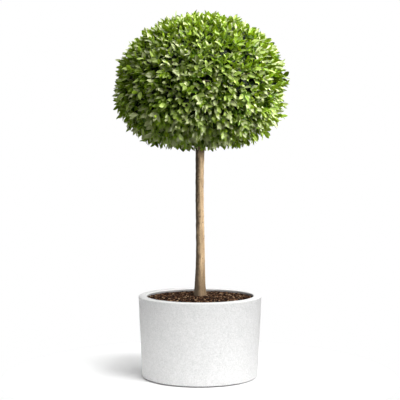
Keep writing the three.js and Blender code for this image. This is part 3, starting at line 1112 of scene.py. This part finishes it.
def leaves_on(shoots, settings):
    """Places, directions, sizes and tones of the crossed pairs of leaves on every shoot.

    As in the part's source, a leaf leans over to bring its tip inside the outline, by a few steps at most.
    One is left out where its tip stays outside, or where it would touch the stem.
    """
    index = np.arange(len(shoots.end))[:, None, None]
    pair = np.arange(len(LEAF_PAIRS))[None, :, None]
    half = np.arange(2)[None, None, :]
    draw = 2 * (index * len(LEAF_PAIRS) + pair) + half
    back, lean, size = (np.array(values)[None, :, None] for values in zip(*LEAF_PAIRS))
    limb = unit(shoots.end - shoots.start)
    wander = np.stack([either_way(AXIS_JITTER, index[:, 0, 0], 19 + k) for k in range(3)], axis=1)
    outward = head_normal(unit(shoots.end - HEAD_CENTRE))
    axis = unit(limb + OUTWARD_PULL * outward + wander)[:, None, None, :]
    limb = limb[:, None, None, :]
    across = unit(np.cross(UP, axis))
    turn = math.pi * (half + pair / 2 + chance(index, 5)) + either_way(LEAF_TURN, draw, 6)
    turn = turn[..., None]
    out = across * np.cos(turn) + np.cross(axis, across) * np.sin(turn)
    grown = size * varied(LEAF_GROWTH, draw, 8)
    length = settings.leaf_length * grown
    foot = shoots.end[:, None, None, :] - limb * (back * varied(PAIR_GAPS, index, 9))[..., None]
    tilt = lean + either_way(LEAF_TILT, draw, 7)
    sag = -DROOP * UP * (lean * varied(LEAF_SAG, draw, 11))[..., None]
    for _ in range(LEAN_STEPS + 1):
        run = axis * np.cos(tilt)[..., None] + out * np.sin(tilt)[..., None]
        run = unit(run + sag)
        tip = foot + run * length[..., None]
        tilt = tilt + LEAN_STEP * ~in_head(tip)
    up = square_to(axis * np.sin(tilt)[..., None] - out * np.cos(tilt)[..., None], run)
    side, up = faced(run, up, foot, varied(LEAF_TO_LIGHT, draw, 12), either_way(LEAF_ROLL, draw, 13))
    keep = in_head(tip) & clear_of_stem(tip, settings.leaf_width / 2)
    width = settings.leaf_width * grown * varied(LEAF_WIDTHS, draw, 14)
    fold = varied(LEAF_FOLD, draw, 15)
    curl = varied(LEAF_CURL, draw, 16)
    age = pair / (len(LEAF_PAIRS) - 1) + either_way(SHOOT_AGES, index, 17) + either_way(LEAF_AGES, draw, 18)
    shapes = {"root": np.broadcast_to(foot, tip.shape), "run": run, "side": side, "up": up}
    numbers = {"length": length, "width": width, "fold": fold, "curl": curl}
    shapes = {name: value[keep] for name, value in (shapes | numbers).items()}
    return shapes, np.searchsorted(TONE_LIMITS, age)[keep]


def old_leaves(spurs, settings):
    """Larger, darker leaves down the spurs, which close the head's inside. Their near-black colour is painted
    shade.
    """
    count = settings.inner_leaves
    i = np.arange(count)
    limb = i % len(spurs.end)
    root = spurs.start[limb] + (spurs.end[limb] - spurs.start[limb]) * chance(i, 51)[:, None]
    out = unit(root - HEAD_CENTRE)
    jitter = np.stack([either_way(1.0, i, 52 + k) for k in range(3)], axis=1)
    run = unit(np.cross(out, jitter) + OLD_LEAF_OUTWARD * out)
    pull = np.full(count, OLD_LEAF_TO_LIGHT)
    side, up = faced(run, square_to(out, run), root, pull, either_way(OLD_LEAF_ROLL, i, 56))
    length = settings.inner_leaf_length * varied(OLD_LEAF_GROWTH, i, 57)
    shapes = {"root": root, "run": run, "side": side, "up": up, "length": length}
    shapes["width"] = OLD_LEAF_WIDTH * length
    shapes["fold"] = np.full(count, OLD_LEAF_FOLD)
    shapes["curl"] = np.full(count, OLD_LEAF_CURL)
    keep = clear_of_stem(root, length) & in_head(root + run * length[:, None])
    return {name: value[keep] for name, value in shapes.items()}


def with_bare_patches(shoots, share):
    """The shoots without a share of them, which leaves small bare patches between the others."""
    level = np.array([noise.noise(Vector(p) * PATCH_GRID) for p in shoots.end])
    return shoots.kept(level > np.quantile(level, share))


def colour_of(name, description, default):
    """A colour that a user would change."""
    return FloatVectorProperty(name=name, description=description, subtype="COLOR", default=default)


def typed(name, description, default, **kind):
    """A number that a user would change, with its unit or subtype."""
    return FloatProperty(name=name, description=description, default=default, **kind)


def length_of(name, description, default):
    """A length that a user would change."""
    return typed(name, description, default, unit="LENGTH")


def count_of(name, description, default, least=0):
    """A count that a user would change."""
    return IntProperty(name=name, description=description, default=default, min=least)


def power_of(name, description, default):
    """A lamp's power, in watts."""
    return typed(name, description, default, unit="POWER")


class PlanterSettings(bpy.types.PropertyGroup):
    """Sizes and colour of the planter."""

    concrete: colour_of("Concrete", "Colour of the cast concrete", (0.46, 0.46, 0.458))
    spacing: length_of("Mesh spacing", "Distance between rows of the wall's mesh", 0.0032)
    steps: count_of("Steps", "Steps of the wall round its axis", 400, 24)
    pits: count_of("Pits", "Shallow pits in the outside", 260)


class CompostSettings(bpy.types.PropertyGroup):
    """Sizes and colours of the compost."""

    compost: colour_of("Compost", "Colour of the fine compost", (0.014, 0.007, 0.004))
    chips: count_of("Chips", "Bark chips on top", 7500)
    chip_length: length_of("Chip length", "Length that the chips' lengths are shares of", 0.0130)


class StemSettings(bpy.types.PropertyGroup):
    """Sizes and colours of the stem."""

    bark: colour_of("Bark", "Colour of the bark", (0.63, 0.45, 0.262))
    bark_dark: colour_of("Dark bark", "Colour of the bark's streaks and weathered side", (0.13, 0.083, 0.042))
    crack_depth: length_of("Crack depth", "Depth of the bark's cracks", 0.0009)


class FoliageSettings(bpy.types.PropertyGroup):
    """Counts, sizes and colours of the twigs and leaves."""

    spurs: count_of("Spurs", "Twigs of the fourth order", 620, 1)
    shoots: count_of("Shoots", "Leafy shoots of the last order", 2000, 1)
    shoot_depth: length_of("Shoot depth", "How far inside the outline the longest shoots end", 0.023)
    shoot_spread: length_of("Shoot spread", "About how much shorter the shortest shoots are", 0.050)
    bare: typed("Bare share", "Share of the shoots left out in patches", 0.065, subtype="FACTOR")
    leaf_length: length_of("Leaf length", "Length of a usual leaf", 0.0335)
    leaf_width: length_of("Leaf width", "Width of a usual leaf", 0.0149)
    inner_leaves: count_of("Inner leaves", "Shaded leaves inside, before any near the stem go", 12000)
    inner_leaf_length: length_of("Inner leaf length", "Length of a usual shaded leaf", 0.052)
    young: colour_of("Young leaf", "Leaves at the tips of the shoots", (0.60, 0.65, 0.33))
    bright: colour_of("Bright leaf", "Leaves just behind the tips", (0.435, 0.565, 0.120))
    middle: colour_of("Middle leaf", "Leaves halfway down the shoots", (0.225, 0.375, 0.008))
    deep: colour_of("Deep leaf", "Oldest leaves, at the foot of the shoots", (0.054, 0.118, 0.002))
    old: colour_of("Old leaf", "Shaded leaves inside the head", (0.005, 0.012, 0.001))
    underside: colour_of("Underside", "Lower face of the leaves", (0.30, 0.44, 0.030))
    twig: colour_of("Twig", "Bark of boughs and twigs", (0.075, 0.055, 0.035))
    shoot: colour_of("Shoot", "Green bark of the shoots", (0.20, 0.24, 0.06))


class StageSettings(bpy.types.PropertyGroup):
    """The studio, its lights and its camera."""

    floor: colour_of("Floor", "Colour of the floor", (0.96, 0.96, 0.96))
    floor_radius: length_of("Floor radius", "Reach of the floor round the planter", 0.80)
    eye_height: length_of("Eye height", "Height of the camera", 0.880)
    distance: length_of("Distance", "Distance of the camera from the stem", 4.218)
    pitch: typed("Pitch", "How far the camera looks down", math.radians(2.205), subtype="ANGLE")
    lens: typed("Lens", "Focal length in millimetres", 93.6, unit="CAMERA")
    key_light: typed("Key light", "Strength of the key light", 2.90)
    front_light: power_of("Front light", "Power of the panel at the right in front of the head", 5.9)
    top_light: power_of("Top light", "Power of the panel above the head", 54.0)
    low_light: power_of("Low light", "Power of the low panel in front of the planter", 2.08)
    head_fill: power_of("Head fill", "Power of the panel at the left, below the head", 1.35)
    left_fill: power_of("Left fill", "Power of the low panel at the left of the planter", 0.84)
    fill: typed("Fill light", "Brightness of the studio in front", 0.056)
    backdrop: typed("Backdrop", "Brightness of the white backdrop behind", 0.52)
    ceiling: typed("Ceiling", "Brightness of the studio overhead", 0.55)


class TOPIARY_OT_planter(bpy.types.Operator):
    """Models the concrete planter"""

    bl_idname = "topiary.planter"
    bl_label = "Planter"

    def execute(self, context):
        settings = context.scene.topiary_planter
        bm = turned(planter_profile(settings.spacing), settings.steps)
        pit_planter(bm, settings)
        mesh = mesh_of(bm, "cast_planter")
        add_piece("cast_planter", mesh, [concrete(settings)], "cast_concrete", "planter")
        return {"FINISHED"}


class TOPIARY_OT_compost(bpy.types.Operator):
    """Models the compost and the bark chips on it"""

    bl_idname = "topiary.compost"
    bl_label = "Compost"

    def execute(self, context):
        settings = context.scene.topiary_compost
        bm = turned(compost_profile(), COMPOST_STEPS)
        roughen_soil(bm)
        earth = grained("dark_compost", tuple(settings.compost), EARTH)
        add_piece("compost_bed", mesh_of(bm, "compost_bed"), [earth], "bark_compost", "compost")
        template = chip_template()
        points, tone = scatter_chips(settings, template)
        mesh = template.joined("bark_chips", points, materials=tone)
        mesh.set_sharp_from_angle(angle=CHIP_SHARP)
        tones = [grained(name, colour, CHIP) for name, colour, _ in CHIP_TONES]
        add_piece("bark_chips", mesh, tones, "bark_compost", "compost")
        return {"FINISHED"}


class TOPIARY_OT_stem(bpy.types.Operator):
    """Models the clear stem with its bark"""

    bl_idname = "topiary.stem"
    bl_label = "Stem"

    def execute(self, context):
        settings = context.scene.topiary_stem
        bm = turned(stem_profile(), STEM_STEPS)
        shape_stem(bm, settings.crack_depth)
        bmesh.ops.recalc_face_normals(bm, faces=bm.faces[:])
        add_piece("bark_stem", mesh_of(bm, "bark_stem"), [bark(settings)], "stem_bark", "trunk")
        return {"FINISHED"}


class TOPIARY_OT_twigs(bpy.types.Operator):
    """Models the boughs, twigs and shoots inside the head"""

    bl_idname = "topiary.twigs"
    bl_label = "Boughs and twigs"

    def execute(self, context):
        settings = context.scene.topiary_foliage
        # The boughs' and twigs' dark bark colour is partly their own, partly painted shade of the head's
        # inside
        brown = grained("twig_bark", tuple(settings.twig), TWIG)
        green = grained("green_shoot_bark", tuple(settings.shoot), TWIG)
        *orders, shoots = branching(settings)
        tip = np.array([[0.0, 0.0, STEM_TIP - LEADER_OVERLAP]])
        leader = Limbs(tip, tip + (0.0, 0.0, STEM_HUB_RISE + LEADER_RISE), LEADER_RADII)
        kinds = [leader, *orders, with_bare_patches(shoots, settings.bare)]
        for number, (limbs, (name, sides, steps, bow)) in enumerate(zip(kinds, LIMB_MESHES)):
            template = limb_template(sides, steps)
            mesh = template.joined(name, limb_points(limbs, template, bow, LIMB_DRAW + number))
            mesh.set_sharp_from_angle(angle=LIMB_SHARP)
            finish, slot = (green, "foliage") if name == "shoots" else (brown, "stem_bark")
            add_piece(name, mesh, [finish], slot, "clipped_head")
        return {"FINISHED"}


class TOPIARY_OT_leaves(bpy.types.Operator):
    """Models the leaves in sprays, each tone apart"""

    bl_idname = "topiary.leaves"
    bl_label = "Leaves"

    def execute(self, context):
        settings = context.scene.topiary_foliage
        *_, spurs, shoots = branching(settings)
        template = leaf_template()
        uv, sharp = blade_edges(template)
        shapes, tone = leaves_on(with_bare_patches(shoots, settings.bare), settings)
        for number, (kind, finishes) in enumerate(leaf_finishes(settings)):
            chosen = np.flatnonzero(tone == number)
            shares = math.ceil(len(chosen) * template.triangles / TRIANGLES_A_PIECE)
            for share, picked in enumerate(np.array_split(chosen, shares), start=1):
                name = f"{kind}_leaves_{share}"
                points = leaf_shape(template, **{key: value[picked] for key, value in shapes.items()})
                mesh = template.joined(name, points, uv=uv, sharp=sharp)
                add_piece(name, mesh, finishes, "foliage", "clipped_head")
        inner = old_leaf_template()
        mesh = inner.joined("inner_leaves", leaf_shape(inner, **old_leaves(spurs, settings)))
        # The inner leaves' near-black colour is painted shade of the head's inside
        old = grained("old_leaf", tuple(settings.old), TWIG)
        add_piece("inner_leaves", mesh, [old], "foliage", "clipped_head")
        return {"FINISHED"}


def add_floor(settings):
    """A plain round floor."""
    bm = bmesh.new()
    bmesh.ops.create_circle(bm, cap_ends=True, segments=FLOOR_STEPS, radius=settings.floor_radius)
    floor = bpy.data.objects.new("studio_floor", mesh_of(bm, "studio_floor"))
    material, _, shader = new_material("studio_floor", *FLOOR_FINISH)
    shader.inputs["Base Color"].default_value = (*settings.floor, 1.0)
    floor.data.materials.append(material)
    bpy.context.scene.collection.objects.link(floor)


def white_studio(settings):
    """White surroundings: a bright backdrop behind, a dim front and a bright ceiling."""
    world = bpy.data.worlds.new("white_studio")
    world.use_nodes = True
    tree = world.node_tree
    tree.nodes.clear()
    seen = node(tree, "ShaderNodeBackground", {"Color": (1, 1, 1, 1), "Strength": 1.0})
    _, depth, height = axes(tree, node(tree, "ShaderNodeTexCoord").outputs["Generated"])
    around = ramp(tree, depth, *BACKDROP_EDGES, settings.fill, settings.backdrop)
    above = ramp(tree, height, *CEILING_EDGES, 0.0, settings.ceiling)
    horizon = ramp(tree, height, *HORIZON_EDGES, BELOW_HORIZON, 1.0)
    level = maths(tree, maths(tree, around, above, "MAXIMUM"), horizon)
    light = node(tree, "ShaderNodeBackground", {"Color": (1, 1, 1, 1), "Strength": level})
    to_camera = node(tree, "ShaderNodeLightPath").outputs["Is Camera Ray"]
    both = node(tree, "ShaderNodeMixShader", {0: to_camera, 1: light.outputs[0], 2: seen.outputs[0]})
    node(tree, "ShaderNodeOutputWorld", {"Surface": both.outputs[0]})
    return world


def add_lamp(light, place, source):
    """Puts a light at a place, so that it shines from the side where its source is."""
    lamp = bpy.data.objects.new(light.name, light)
    lamp.location = place
    lamp.rotation_euler = source.to_track_quat("Z", "Y").to_euler()
    bpy.context.scene.collection.objects.link(lamp)


def add_lights(settings):
    """The key light and the soft panels."""
    sun = bpy.data.lights.new("key_light", "SUN")
    sun.energy = settings.key_light
    sun.angle = KEY_ANGLE
    add_lamp(sun, (0.0, 0.0, 0.0), Vector(KEY_DIRECTION))
    for name, size, beam, place, aim in PANELS:
        panel = bpy.data.lights.new(name, "AREA")
        panel.energy = getattr(settings, name)
        panel.size = size
        panel.spread = math.radians(beam)
        add_lamp(panel, place, Vector(place) - Vector(aim))


def add_camera(settings):
    """The camera, at the photograph's viewing angle."""
    camera = bpy.data.objects.new("camera", bpy.data.cameras.new("camera"))
    camera.data.lens = settings.lens
    camera.data.sensor_width = SENSOR_WIDTH
    camera.location = (0.0, -settings.distance, settings.eye_height)
    camera.rotation_euler = (math.pi / 2 - settings.pitch, 0.0, 0.0)
    bpy.context.scene.collection.objects.link(camera)
    bpy.context.scene.camera = camera


class TOPIARY_OT_stage(bpy.types.Operator):
    """Sets the floor, the lights and the camera"""

    bl_idname = "topiary.stage"
    bl_label = "Studio"

    def execute(self, context):
        settings = context.scene.topiary_stage
        add_floor(settings)
        context.scene.world = white_studio(settings)
        add_lights(settings)
        add_camera(settings)
        context.scene.view_settings.view_transform = "Standard"
        return {"FINISHED"}


class TOPIARY_PT_panel(bpy.types.Panel):
    """Lists the pieces of the topiary"""

    bl_idname = "TOPIARY_PT_panel"
    bl_label = "Standard topiary"
    bl_space_type = "VIEW_3D"
    bl_region_type = "UI"
    bl_category = "Topiary"

    def draw(self, context):
        for name, _ in SETTINGS:
            box = self.layout.box()
            group = getattr(context.scene, name)
            for key in group.bl_rna.properties.keys():
                if key not in ("rna_type", "name"):
                    box.prop(group, key)
        for operator in OPERATORS:
            self.layout.operator(operator.bl_idname)


SETTINGS = (
    ("topiary_planter", PlanterSettings),
    ("topiary_compost", CompostSettings),
    ("topiary_stem", StemSettings),
    ("topiary_foliage", FoliageSettings),
    ("topiary_stage", StageSettings),
)
OPERATORS = (
    TOPIARY_OT_stage,
    TOPIARY_OT_planter,
    TOPIARY_OT_compost,
    TOPIARY_OT_stem,
    TOPIARY_OT_twigs,
    TOPIARY_OT_leaves,
)
CLASSES = (*(group for _, group in SETTINGS), *OPERATORS, TOPIARY_PT_panel)


def register():
    """Adds the classes and the scene's settings."""
    for cls in CLASSES:
        bpy.utils.register_class(cls)
    for name, group in SETTINGS:
        setattr(bpy.types.Scene, name, PointerProperty(type=group))


def unregister():
    """Takes the settings and classes away again."""
    for name, _ in SETTINGS:
        delattr(bpy.types.Scene, name)
    for cls in reversed(CLASSES):
        bpy.utils.unregister_class(cls)


def main():
    register()
    for operator in OPERATORS:
        name = operator.bl_idname.split(".")[1]
        getattr(bpy.ops.topiary, name)()


if __name__ == "__main__":
    main()
